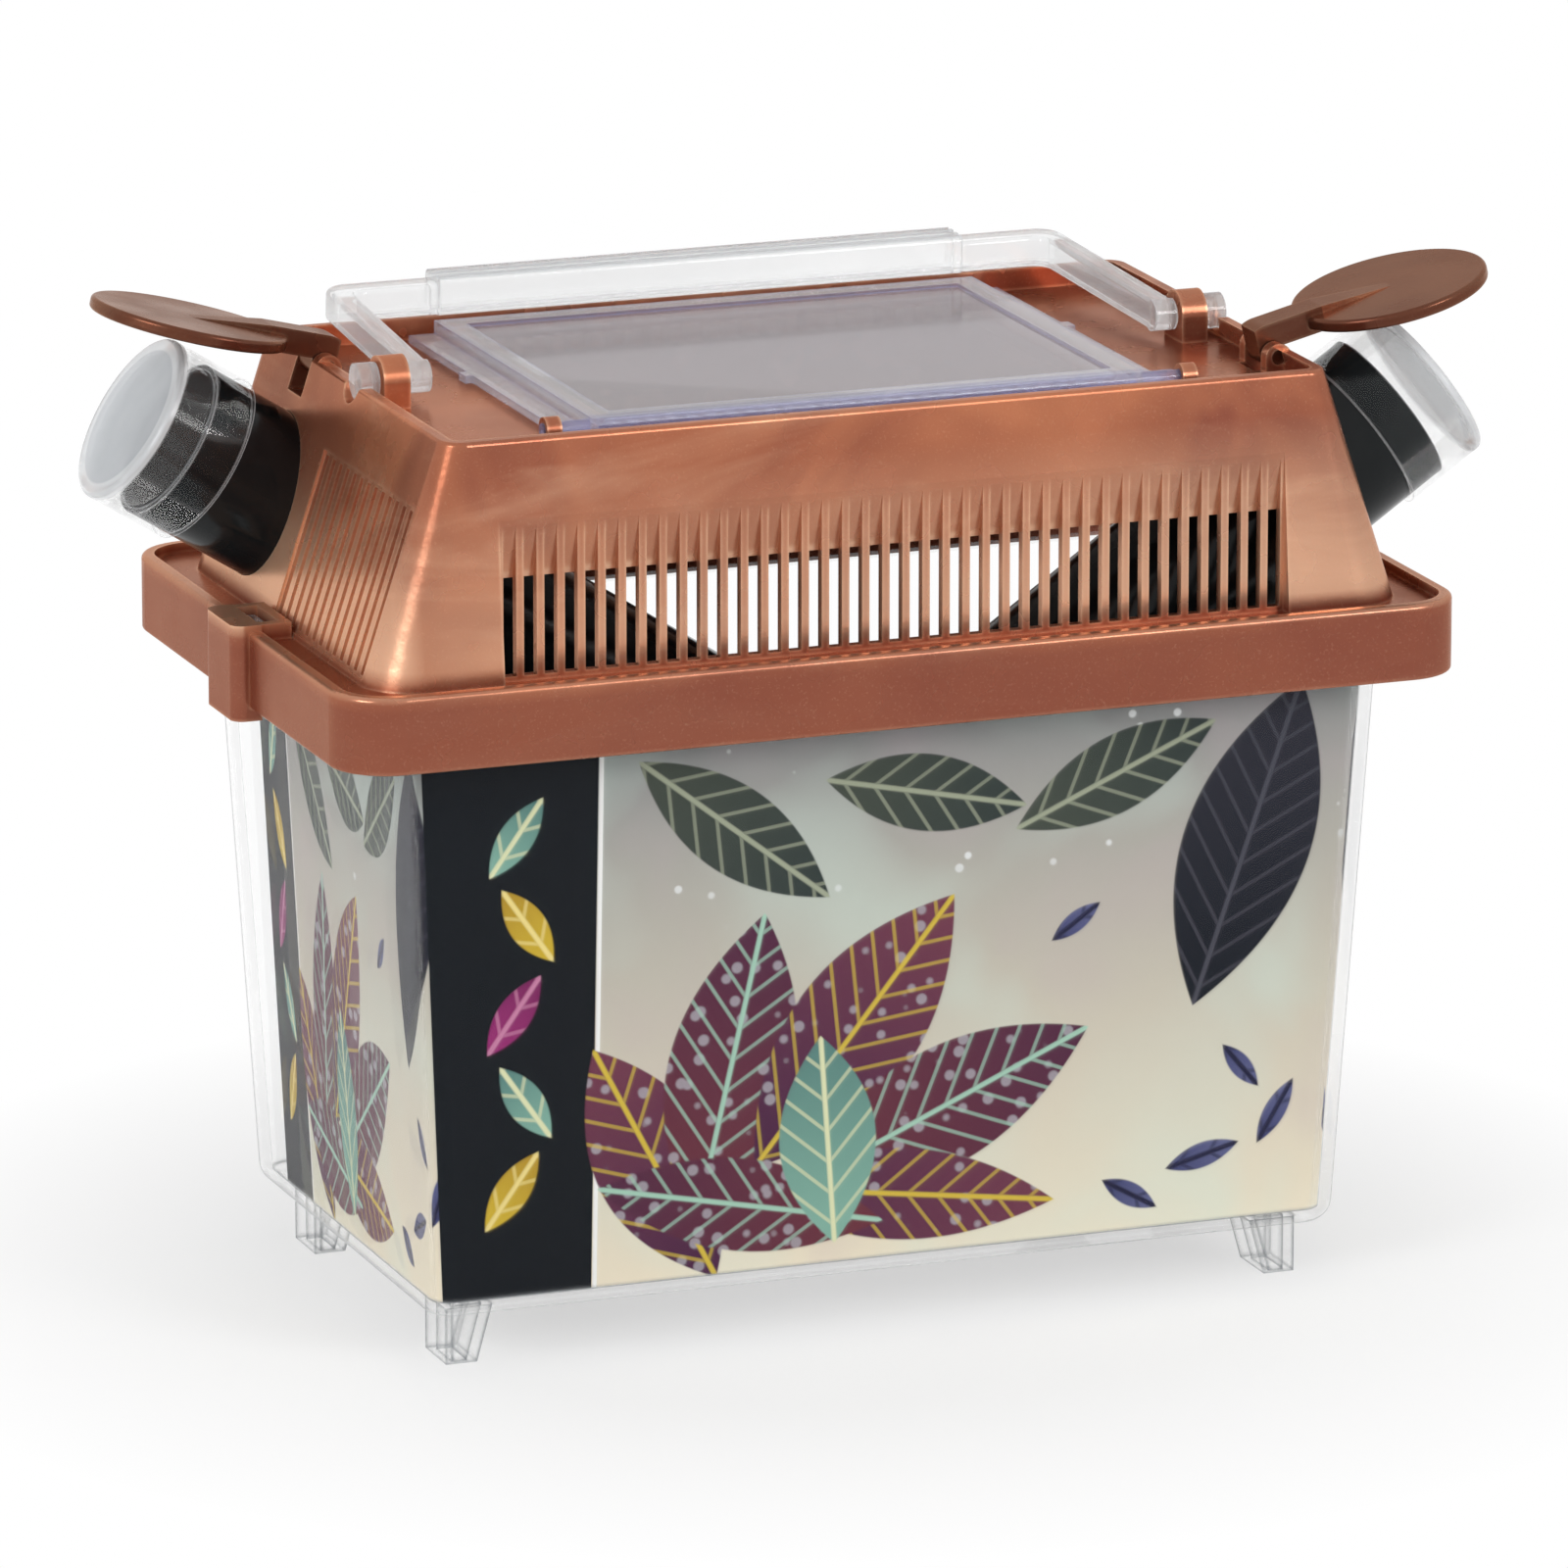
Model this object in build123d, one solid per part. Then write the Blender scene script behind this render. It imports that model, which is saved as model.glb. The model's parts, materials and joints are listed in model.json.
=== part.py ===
from build123d import *

import math
import os

# Small live-insect keeper: a clear tank on four feet, a copper coloured lid with
# ventilation grilles, two slanted dispensing tubes that run from the lid's ends down
# to the tank floor, a clear hatch in the lid's top tray and a clear carrying handle.
# Millimetres. X is the length, Y the depth with the front at -Y, Z is up and 0 is the floor.
# Apart from its tube ports the lid looks the same after half a turn about Z, so
# each end feature is drawn once, at the right end, and repeated by that half turn.
# The lid's length and depth lead: the hood, the tank and the handle follow them.

lid_length = 181.0
lid_width = 107.2

# ---- Tank -----------------------------------------------------------------------
foot_height = 8.9             # floor to the underside of the tank
foot_top_length = 7.5
foot_toe_length = 5.0
foot_width = 9.5
foot_wall = 1.3
foot_inset_x = 5.0            # tank side to the foot's outer face, at the tank's underside
foot_inset_y = 6.7
tank_height = 97.3            # underside to rim
tank_draft = 2.9              # degrees, each side
tank_corner_radius = 5.5
tank_base_edge_radius = 3.5
tank_wall = 2.0
tank_floor = 2.2
rim_lip_reach = 2.5           # outward lip under the lid
rim_lip_height = 2.4
rim_gap_x = 6.27              # rim lip to the inside of the lid's skirt
rim_gap_y = 1.67
tongue_width = 9.0            # upright tab at each end, caught by the lid's latch
tongue_thickness = 2.1
tongue_rise = 3.2             # above the rim
tongue_shelf = 2.0

# ---- Printed card in the tank ---------------------------------------------------
card_thickness = 0.4
card_gap = 0.15               # card to tank wall
card_height = 88.0
card_side_stop = 10.0         # bare wall left at the back of each side

# ---- Lid: skirt and flange ------------------------------------------------------
lid_corner_radius = 9.2
lid_wall = 2.0
skirt_height = 8.4            # below the flange plate
flange_thickness = 2.0
flange_lip_width = 2.0
flange_lip_height = 1.5
flange_lip_round = 0.8
skirt_foot_round = 0.5

# ---- Lid: hood and tray ---------------------------------------------------------
hood_ledge_x = 7.0            # flange edge to the foot of the hood
hood_ledge_y = 7.1
hood_lean_x = 12.2            # foot of the hood to its top edge, level
hood_lean_y = 3.65
hood_base_radius = 8.5
hood_top_radius = 3.5
hood_height = 36.8
hood_edge_round = 0.7
tray_depth = 3.5
tray_floor = 2.0

# ---- Lid: grilles and end panels ------------------------------------------------
rib_pitch = 3.25
slot_width = 2.05
slot_open_height = 12.8       # cut right through; above it the slots run out as grooves
grille_sill = 0.8             # flange top to the foot of the slots
grille_height = 24.0
grille_margin = 8.0           # hood's top corner to the grille
grille_border = 0.6
grille_head = 1.0
fin_depth = 1.6
panel_groove_width = 1.4      # end panels are ribbed but closed
panel_groove_depth = 0.7
panel_inset = 0.35
panel_height = 25.6
panel_gap = 5.7               # tube to the end panel
panel_margin = 8.0            # foot of the hood's corner to the end panel

# ---- Lid: end latch -------------------------------------------------------------
latch_width = 14.0
latch_reach = 2.5             # proud of the skirt
latch_drop = 2.0              # below the skirt
latch_round = 2.0
pocket_wall_rise = 2.5
pocket_wall = 1.6
pocket_clearance = 0.6        # round the tank's tongue

# ---- Dispensing tubes and caps --------------------------------------------------
tube_diameter = 25.4
tube_wall = 1.3
tube_end_gap = 3.5            # tube's lower end to the card, and to the floor
tube_offset = 22.0            # from the lid's centre line
right_tube_tilt = 34.5        # degrees above level, outwards
left_tube_tilt = 32.3
right_port_height = 16.7      # port centre above the flange
left_port_height = 15.8
right_tube_reach = 14.7       # port centre to the tube's outer end
left_tube_reach = 18.0
fit_clearance = 0.05          # radial, running fits and pins
cap_diameter = 27.2
cap_length = 14.0
cap_overlap = 6.5             # how far the tube enters the cap
cap_face = 1.2
cap_step = 0.9                # inner ring that the tube's end stops at
cap_edge_round = 0.8

# ---- Port flaps -----------------------------------------------------------------
flap_disc_radius = 15.4
flap_thickness = 2.0
flap_edge_round = 0.6
flap_reach = 21.9             # hinge to disc centre, along the disc
flap_rise = 2.6               # disc's middle plane above the hinge
flap_tilt = 14.0              # degrees above level, at rest
flap_arm_width = 5.5
flap_arm_depth = 3.9
flap_arm_length = 9.5
flap_rib_rise = 1.1
flap_rib_tip_width = 2.4
flap_barrel_radius = 2.0
flap_pin_diameter = 2.2
flap_pin_length = 2.0
flap_hinge_inset = 1.9        # inboard of the hood's top edge
flap_hinge_drop = 1.2         # below the hood's top edge
flap_side_gap = 0.4
flap_ear_thickness = 2.2
flap_ear_radius = 2.1
notch_depth = 5.8             # below the hood's top edge
notch_floor = 1.2
notch_reach = 1.2             # inboard of the hinge

# ---- Hatch ----------------------------------------------------------------------
hatch_side_inset = 26.5       # hood's top edge to the hatch's side
hatch_front_inset = 9.35      # hood's top edge to the hinge line
hatch_back_inset = 4.35
hatch_thickness = 1.5
hatch_top_drop = 0.1          # below the hood's top edge
hatch_flange_reach = 4.2
hatch_flange_thickness = 1.2
hatch_step_wall = 1.2
hatch_rest_gap = 0.15         # above the tray floor
hatch_barrel_radius = 1.2
hatch_pin_diameter = 2.2
hatch_pin_length = 3.9
hatch_border_width = 4.0
hatch_border_rise = 0.5
hatch_bump_place = 10.0
hatch_bump_length = 3.0
hatch_bump_reach = 1.2
hatch_ear_gap = 1.2           # side flange to ear
hatch_ear_thickness = 2.4
hatch_ear_radius = 2.0
opening_side_lap = 3.3        # hatch's edge over the opening
opening_front_lap = 2.5
opening_back_lap = 3.5
opening_radius = 2.0

# ---- Handle ---------------------------------------------------------------------
pivot_height = 0.5            # above the hood's top edge
handle_arm_width = 3.6
handle_thickness = 5.0
handle_side_inset = 8.4       # hood's top edge to the outside of the arm, at the pivot
handle_taper = 1.8            # each arm, inwards to the bar
handle_overhang = 2.65        # outside of the bar beyond the hood's top edge
handle_bar_width = 5.2
handle_corner_radius = 4.0
handle_inner_radius = 2.5
handle_edge_round = 0.8
handle_rest_gap = 0.15        # bar to the hood's back edge
grip_end_gap = 19.4           # outside of the arm to the grip's end
grip_width = 6.9
grip_rise = 1.2               # above the arms
grip_round = 1.1
grip_groove_width = 1.1
grip_groove_depth = 0.6
grip_groove_pitch = 2.0
handle_pin_diameter = 3.2
stud_diameter = 5.6
stud_length = 3.2
lug_gap = 0.3                 # arm to lug, and lug to stud
lug_thickness = 4.2
lug_radius = 3.7
stud_relief = 0.4

# ---- Derived heights and places -------------------------------------------------
rim_height = foot_height + tank_height
tank_rim_length = lid_length - 2 * (lid_wall + rim_gap_x + rim_lip_reach)
tank_rim_width = lid_width - 2 * (lid_wall + rim_gap_y + rim_lip_reach)
tank_spread = 2 * tank_height * math.tan(math.radians(tank_draft))
tank_base_length = tank_rim_length - tank_spread
tank_base_width = tank_rim_width - tank_spread
hood_base_length = lid_length - 2 * hood_ledge_x
hood_base_width = lid_width - 2 * hood_ledge_y
hood_top_length = hood_base_length - 2 * hood_lean_x
hood_top_width = hood_base_width - 2 * hood_lean_y
hatch_half_length = hood_top_length / 2 - hatch_side_inset
hatch_front = hatch_front_inset - hood_top_width / 2
hatch_back = hood_top_width / 2 - hatch_back_inset
opening_half_length = hatch_half_length - opening_side_lap
opening_front = hatch_front + opening_front_lap
opening_back = hatch_back - opening_back_lap
handle_span = hood_top_length - 2 * handle_side_inset
handle_back_span = handle_span - 2 * handle_taper
handle_reach = hood_top_width / 2 + handle_overhang
grip_half_length = handle_span / 2 - grip_end_gap
flange_top = rim_height + flange_thickness
skirt_bottom = rim_height - skirt_height
lip_top = flange_top + flange_lip_height
hood_top = flange_top + hood_height
tray_level = hood_top - tray_depth
tray_underside = tray_level - tray_floor
grille_bottom = flange_top + grille_sill
grille_top = grille_bottom + grille_height
end_slope = math.degrees(math.atan2(hood_lean_x, hood_height))
pivot_level = hood_top + pivot_height
half_turns = (0, 180)
tube_ends = {
    "right": (half_turns[0], right_tube_tilt, right_port_height, right_tube_reach),
    "left": (half_turns[1], left_tube_tilt, left_port_height, left_tube_reach),
}


def box_between(x_low, x_high, y_low, y_high, z_low, z_high):
    """Plain block between two corners."""
    block = Box(x_high - x_low, y_high - y_low, z_high - z_low)
    return Pos((x_low + x_high) / 2, (y_low + y_high) / 2, (z_low + z_high) / 2) * block


def upright_block(length, width, radius, z_low, z_high):
    """Block with rounded upright edges."""
    return extrude(Plane.XY.offset(z_low) * RectangleRounded(length, width, radius), z_high - z_low)


def drafted_block(outline_at, z_low, z_high, inset=0.0):
    """Block whose rounded outline changes with height as outline_at says."""
    low = Plane.XY.offset(z_low) * RectangleRounded(*outline_at(z_low, inset))
    high = Plane.XY.offset(z_high) * RectangleRounded(*outline_at(z_high, inset))
    return loft([low, high], ruled=True)


def rod_along_x(diameter, x_low, x_high, y, z):
    """Round bar parallel to X."""
    return Pos((x_low + x_high) / 2, y, z) * Rot(0, 90, 0) * Cylinder(diameter / 2, x_high - x_low)


def rod_along_y(diameter, y_low, y_high, x, z):
    """Round bar parallel to Y."""
    return Pos(x, (y_low + y_high) / 2, z) * Rot(90, 0, 0) * Cylinder(diameter / 2, y_high - y_low)


def cuts_between(low, high, width):
    """Places of the cuts of one width that fill a run at the ribs' pitch, and half the panel's length."""
    count = round((high - low - width - 2 * grille_border) / rib_pitch) + 1
    places = [(number - (count - 1) / 2) * rib_pitch for number in range(count)]
    return places, places[-1] + width / 2 + grille_border


def both_ends(feature):
    """The feature and its copy half a turn round the lid."""
    return [Rot(0, 0, turn) * feature for turn in half_turns]


# ---- Tank -----------------------------------------------------------------------
def tank_outline(z, inset=0.0):
    """Length, width and corner radius of the tank's outside at a height."""
    spread = tank_spread * (z - foot_height) / tank_height - 2 * inset
    return tank_base_length + spread, tank_base_width + spread, tank_corner_radius - inset


def make_foot(side_x, side_y):
    """Hollow foot: upright outside, inner side slanting in to the toe."""
    outer_x = tank_base_length / 2 - foot_inset_x
    outer_y = tank_base_width / 2 - foot_inset_y
    top = foot_height + tank_floor / 2

    def wedge(inset, low, high, y_low, y_high):
        taper = (foot_top_length - foot_toe_length) / foot_height

        def inner_x(z):
            return outer_x - foot_toe_length - taper * z + inset
        corners = [(outer_x - inset, low), (outer_x - inset, high),
                   (inner_x(high), high), (inner_x(low), low)]
        face = Plane.XZ * make_face(Polyline(*corners, close=True))
        return Pos(0, y_high, 0) * extrude(face, y_high - y_low)

    solid = wedge(0, 0, top, outer_y - foot_width, outer_y)
    hollow = wedge(foot_wall, -1, foot_height, outer_y - foot_width + foot_wall, outer_y - foot_wall)
    foot = solid - hollow
    if side_x < 0:
        foot = mirror(foot, Plane.YZ)
    if side_y < 0:
        foot = mirror(foot, Plane.XZ)
    return foot


def make_tank():
    """Clear drafted tank with feet, rim lip and an upright tongue at each end."""
    body = drafted_block(tank_outline, foot_height, rim_height)
    body = fillet(body.faces().sort_by(Axis.Z)[0].edges(), tank_base_edge_radius)
    rim_length, rim_width, rim_radius = tank_outline(rim_height, -rim_lip_reach)
    body += upright_block(rim_length, rim_width, rim_radius, rim_height - rim_lip_height, rim_height)
    body -= drafted_block(tank_outline, foot_height + tank_floor, rim_height + 1, tank_wall)
    for side_x in (-1, 1):
        for side_y in (-1, 1):
            body += make_foot(side_x, side_y)
    tongue_out = lid_length / 2 - lid_wall - pocket_clearance
    shelf_top = rim_height - rim_lip_height / 4
    shelf_start = rim_length / 2 - rim_lip_reach / 2
    shelf = box_between(shelf_start, tongue_out, -tongue_width / 2, tongue_width / 2,
                        shelf_top - tongue_shelf, shelf_top)
    tongue = box_between(tongue_out - tongue_thickness, tongue_out, -tongue_width / 2, tongue_width / 2,
                         shelf_top - tongue_shelf, rim_height + tongue_rise)
    for part in both_ends(shelf + tongue):
        body += part
    return body


def make_card():
    """Card bent to the tank's front and sides, open at the back."""
    low = foot_height + tank_floor + card_gap
    outer = drafted_block(tank_outline, low, low + card_height, tank_wall + card_gap)
    inner = drafted_block(tank_outline, low - 1, low + card_height + 1, tank_wall + card_gap + card_thickness)
    back_limit = tank_base_width / 2 - tank_wall - card_side_stop
    keep = box_between(-lid_length, lid_length, -lid_width, back_limit, 0, rim_height)
    return (outer - inner) & keep


# ---- Lid ------------------------------------------------------------------------
def hood_outline(z, inset=0.0):
    """Length, width and corner radius of the hood's outside at a height."""
    share = (z - flange_top) / hood_height
    length = hood_base_length + share * (hood_top_length - hood_base_length)
    width = hood_base_width + share * (hood_top_width - hood_base_width)
    radius = hood_base_radius + share * (hood_top_radius - hood_base_radius)
    return length - 2 * inset, width - 2 * inset, radius - inset


def end_wall_plane(z):
    """Plane on the right end wall's outside: x along Y, y up the slope, z outwards."""
    slope = math.radians(end_slope)
    half_length = hood_outline(z)[0] / 2
    return Plane(origin=(half_length, 0, z), x_dir=(0, 1, 0), z_dir=(math.cos(slope), 0, math.sin(slope)))


def tube_plane(tilt, port_height):
    """Plane at a right-hand port, its z axis along the tube, outwards."""
    slope = math.radians(tilt)
    level = flange_top + port_height
    half_length = hood_outline(level)[0] / 2
    return Plane(origin=(half_length, -tube_offset, level), x_dir=(0, 1, 0),
                 z_dir=(math.cos(slope), 0, math.sin(slope)))


def flap_hinge():
    """X and Z of the right flap's hinge line."""
    return hood_top_length / 2 - flap_hinge_inset, hood_top - flap_hinge_drop


def add_skirt_and_flange():
    """Flange plate with its skirt below and its raised lip round the edge."""
    block = upright_block(lid_length, lid_width, lid_corner_radius, skirt_bottom, lip_top)
    block = fillet(block.faces().sort_by(Axis.Z)[-1].edges(), flange_lip_round)
    block = fillet(block.faces().sort_by(Axis.Z)[0].edges(), skirt_foot_round)
    block -= upright_block(lid_length - 2 * flange_lip_width, lid_width - 2 * flange_lip_width,
                           lid_corner_radius - flange_lip_width, flange_top, lip_top + 1)
    block -= upright_block(lid_length - 2 * lid_wall, lid_width - 2 * lid_wall,
                           lid_corner_radius - lid_wall, skirt_bottom - 1, rim_height)
    return block


def add_hood(lid):
    """Hood shell with the tray let into its top."""
    shell = drafted_block(hood_outline, flange_top, hood_top)
    shell = fillet(shell.faces().sort_by(Axis.Z)[-1].edges(), hood_edge_round)
    lid += shell
    lid -= drafted_block(hood_outline, rim_height - 1, tray_underside, lid_wall)
    lid -= drafted_block(hood_outline, tray_level, hood_top + 1, lid_wall)
    opening = upright_block(2 * opening_half_length, opening_back - opening_front, opening_radius,
                            tray_underside - 1, tray_level + 1)
    return lid - Pos(0, (opening_back + opening_front) / 2, 0) * opening


def cut_grilles(lid):
    """Upright panel let into the sloping front and back walls, with slots that run out upwards."""
    face_y = hood_outline(grille_top)[1] / 2
    grille_end = hood_top_length / 2 - grille_margin
    places, half_run = cuts_between(-grille_end, grille_end, slot_width)
    recess = box_between(-half_run, half_run, face_y, hood_base_width / 2, flange_top, grille_top)
    panel_half = half_run + lid_wall
    panel = box_between(-panel_half, panel_half, face_y - fin_depth, hood_base_width / 2,
                        rim_height, grille_top)
    panel &= drafted_block(hood_outline, rim_height, hood_top, lid_wall / 2)
    outside = face_y + lid_wall
    inside = face_y - 2 * lid_wall
    open_top = grille_bottom + slot_open_height
    profile = Polyline((outside, grille_bottom), (outside, grille_top - grille_head),
                       (face_y, grille_top - grille_head), (face_y - lid_wall, open_top),
                       (inside, open_top), (inside, grille_bottom), close=True)
    slot = extrude(Plane.YZ * make_face(profile), slot_width / 2, both=True)
    for turn in half_turns:
        lid = lid + Rot(0, 0, turn) * panel - Rot(0, 0, turn) * recess
        lid = lid - [Rot(0, 0, turn) * Pos(place, 0, 0) * slot for place in places]
    return lid


def cut_end_panels(lid):
    """Shallow ribbed panel in each end wall, beside the tube's port."""
    run_up = panel_height / math.cos(math.radians(end_slope))
    low = tube_diameter / 2 + panel_gap - tube_offset
    high = hood_base_width / 2 - panel_margin
    places, half_run = cuts_between(low, high, panel_groove_width)
    frame = end_wall_plane(grille_bottom + panel_height / 2) * Pos((low + high) / 2, 0, 0)
    cuts = [frame * Box(2 * half_run, run_up, 2 * panel_inset)]
    for place in places:
        cuts.append(frame * Pos(place, 0, -panel_inset)
                    * Box(panel_groove_width, run_up - 2 * grille_border, 2 * panel_groove_depth))
    for cut in cuts:
        lid = lid - both_ends(cut)
    return lid


def cut_tube_ports(lid):
    """Round port through each end wall, a running fit on the tube."""
    for turn, tilt, port_height, _ in tube_ends.values():
        bore = tube_plane(tilt, port_height) * Cylinder(tube_diameter / 2 + fit_clearance, 2 * tube_diameter)
        lid -= Rot(0, 0, turn) * bore
    return lid


def add_flap_hinges(lid):
    """Closed notch in each end's top edge, between two ears with pin holes."""
    hinge_x, hinge_z = flap_hinge()
    notch_half = flap_arm_width / 2 + flap_side_gap
    floor_z = hood_top - notch_depth
    inner_x = hinge_x - flap_barrel_radius - notch_reach
    wall_x = hood_outline(floor_z)[0] / 2
    housing_half = notch_half + notch_floor
    housing = box_between(inner_x - notch_floor, wall_x - lid_wall / 2, -housing_half, housing_half,
                          floor_z - notch_floor, tray_level)
    ear_outer = notch_half + flap_ear_thickness
    ears = box_between(hinge_x - flap_ear_radius, hinge_x + flap_ear_radius, -ear_outer, ear_outer,
                       tray_underside, hinge_z)
    ears += rod_along_y(2 * flap_ear_radius, -ear_outer, ear_outer, hinge_x, hinge_z)
    notch = box_between(inner_x, lid_length, -notch_half, notch_half, floor_z, hood_top + notch_depth)
    holes = rod_along_y(flap_pin_diameter + 2 * fit_clearance, -ear_outer - 1, ear_outer + 1,
                        hinge_x, hinge_z)
    for part in both_ends(Pos(0, -tube_offset, 0) * (housing + ears)):
        lid += part
    for part in both_ends(Pos(0, -tube_offset, 0) * (notch + holes)):
        lid -= part
    return lid


def add_latches(lid):
    """Boss with a finger tab and a walled pocket for the tank's tongue at each end."""
    skirt_x = lid_length / 2
    tab = box_between(skirt_x - lid_wall, skirt_x + latch_reach, -latch_width / 2, latch_width / 2,
                      skirt_bottom - latch_drop, lip_top + pocket_wall_rise - flange_lip_height)
    corners = tab.edges().filter_by(Axis.Z).group_by(Axis.X)[-1]
    tab = fillet(corners, latch_round)
    slot_in = skirt_x - lid_wall - tongue_thickness - 2 * pocket_clearance
    slot_half = tongue_width / 2 + pocket_clearance
    wall = box_between(slot_in - pocket_wall, skirt_x, -slot_half - pocket_wall, slot_half + pocket_wall,
                       flange_top - flange_thickness / 2, flange_top + pocket_wall_rise)
    pocket = box_between(slot_in, skirt_x - lid_wall, -slot_half, slot_half, rim_height - 1,
                         flange_top + pocket_wall_rise + 1)
    for part in both_ends(tab + wall):
        lid += part
    return lid - both_ends(pocket)


def add_handle_lugs(lid):
    """Round-topped lug for each handle pivot, and a relief in the edge behind it."""
    inner = handle_span / 2 + lug_gap
    outer = inner + lug_thickness
    lug = box_between(inner, outer, -lug_radius, lug_radius, tray_level - tray_floor / 2, pivot_level)
    lug += rod_along_x(2 * lug_radius, inner, outer, 0, pivot_level)
    relief = rod_along_x(stud_diameter + 2 * stud_relief, outer, lid_length / 2, 0, pivot_level)
    bore = rod_along_x(handle_pin_diameter + 2 * fit_clearance, inner - 1, outer + 1, 0, pivot_level)
    for part in both_ends(lug):
        lid += part
    return lid - both_ends(relief) - both_ends(bore)


def hatch_levels():
    """Height of the hatch's top, of its hinge line and of its underside."""
    top = hood_top - hatch_top_drop
    return top, top - hatch_barrel_radius, tray_level + hatch_rest_gap


def add_hatch_ears(lid):
    """Ears at the tray's front corners that carry the hatch's pins."""
    hinge_z = hatch_levels()[1]
    inner = hatch_half_length + hatch_flange_reach + hatch_ear_gap
    outer = inner + hatch_ear_thickness
    ear = box_between(inner, outer, hatch_front - hatch_ear_radius, hatch_front + hatch_ear_radius,
                      tray_level - tray_floor / 2, hinge_z)
    ear += rod_along_x(2 * hatch_ear_radius, inner, outer, hatch_front, hinge_z)
    hole = rod_along_x(hatch_pin_diameter + 2 * fit_clearance, inner - 1, outer + 1, hatch_front, hinge_z)
    for mirrored in (False, True):
        lid += mirror(ear, Plane.YZ) if mirrored else ear
        lid -= mirror(hole, Plane.YZ) if mirrored else hole
    return lid


def make_lid():
    """Copper coloured lid, one moulding."""
    lid = add_hood(add_skirt_and_flange())
    lid = cut_grilles(lid)
    lid = cut_end_panels(lid)
    lid = cut_tube_ports(lid)
    lid = add_flap_hinges(lid)
    lid = add_latches(lid)
    lid = add_handle_lugs(lid)
    return add_hatch_ears(lid)


# ---- Tubes and caps -------------------------------------------------------------
def longest_tube(tilt, port_height, reach):
    """Length at which a tube's lower end just clears the card at the far end and the floor."""
    slope = math.radians(tilt)
    level = flange_top + port_height
    floor_level = foot_height + tank_floor
    card_x = tank_outline(floor_level, tank_wall + card_gap + card_thickness)[0] / 2
    to_card = hood_outline(level)[0] / 2 + card_x - tube_end_gap - tube_diameter / 2 * math.sin(slope)
    to_floor = level - floor_level - tube_end_gap - tube_diameter / 2 * math.cos(slope)
    return reach + min(to_card / math.cos(slope), to_floor / math.sin(slope))


def make_tube(tilt, port_height, reach):
    """Tube through a right-hand port, open at both ends; both tubes are alike."""
    tube_length = min(longest_tube(*end[1:]) for end in tube_ends.values())
    outer = Cylinder(tube_diameter / 2, tube_length)
    bore = Cylinder(tube_diameter / 2 - tube_wall, tube_length + 2)
    return tube_plane(tilt, port_height) * Pos(0, 0, reach - tube_length / 2) * (outer - bore)


def make_cap(tilt, port_height, reach):
    """Cap on a right-hand tube: a cup pushed over the end, with a ring that stops it."""
    start = reach + fit_clearance - cap_overlap
    bore_radius = tube_diameter / 2 + fit_clearance
    cup = Pos(0, 0, start + cap_length / 2) * Cylinder(cap_diameter / 2, cap_length)
    cup = fillet(cup.faces().sort_by(Axis.Z)[-1].edges(), cap_edge_round)
    cup -= Pos(0, 0, start + cap_overlap / 2 - 1) * Cylinder(bore_radius, cap_overlap + 2)
    chamber = cap_length - cap_overlap - cap_face
    middle = start + cap_overlap + chamber / 2
    cup -= Pos(0, 0, middle) * Cylinder(bore_radius - cap_step, chamber + 0.002)
    return tube_plane(tilt, port_height) * cup


# ---- Port flaps -----------------------------------------------------------------
def make_flap():
    """Right flap: disc, tapering rib, arm and hinge pins; drawn level, then tilted."""
    disc_low = flap_rise - flap_thickness / 2
    disc_top = flap_rise + flap_thickness / 2
    disc = Pos(flap_reach, 0, flap_rise) * Cylinder(flap_disc_radius, flap_thickness)
    disc = fillet(disc.edges(), flap_edge_round)
    arm_low = disc_top + flap_rib_rise - flap_arm_depth
    arm = box_between(0, flap_arm_length, -flap_arm_width / 2, flap_arm_width / 2, arm_low,
                      disc_top + flap_rib_rise)
    half_root = flap_arm_width / 2
    half_tip = flap_rib_tip_width / 2
    plan = Polyline((flap_arm_length, half_root), (flap_reach, half_tip), (flap_reach, -half_tip),
                    (flap_arm_length, -half_root), close=True)
    rib = Pos(0, 0, disc_low) * extrude(make_face(plan), flap_thickness + flap_rib_rise)
    side = Polyline((flap_arm_length - 1, disc_low), (flap_reach, disc_low), (flap_reach, disc_top),
                    (flap_arm_length, disc_top + flap_rib_rise),
                    (flap_arm_length - 1, disc_top + flap_rib_rise), close=True)
    envelope = extrude(Plane.XZ * make_face(side), flap_arm_width, both=True)
    flap = disc + arm + (rib & envelope)
    flap += rod_along_y(2 * flap_barrel_radius, -half_root, half_root, 0, 0)
    root = box_between(-flap_barrel_radius, flap_barrel_radius, -half_root, half_root, 0,
                       disc_top + flap_rib_rise)
    flap += root & rod_along_y(2 * (disc_top + flap_rib_rise), -half_root, half_root, 0, 0)
    pin_end = half_root + flap_side_gap + flap_pin_length
    flap += rod_along_y(flap_pin_diameter, -pin_end, pin_end, 0, 0)
    hinge_x, hinge_z = flap_hinge()
    return Pos(hinge_x, -tube_offset, hinge_z) * Rot(0, -flap_tilt, 0) * flap


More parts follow.
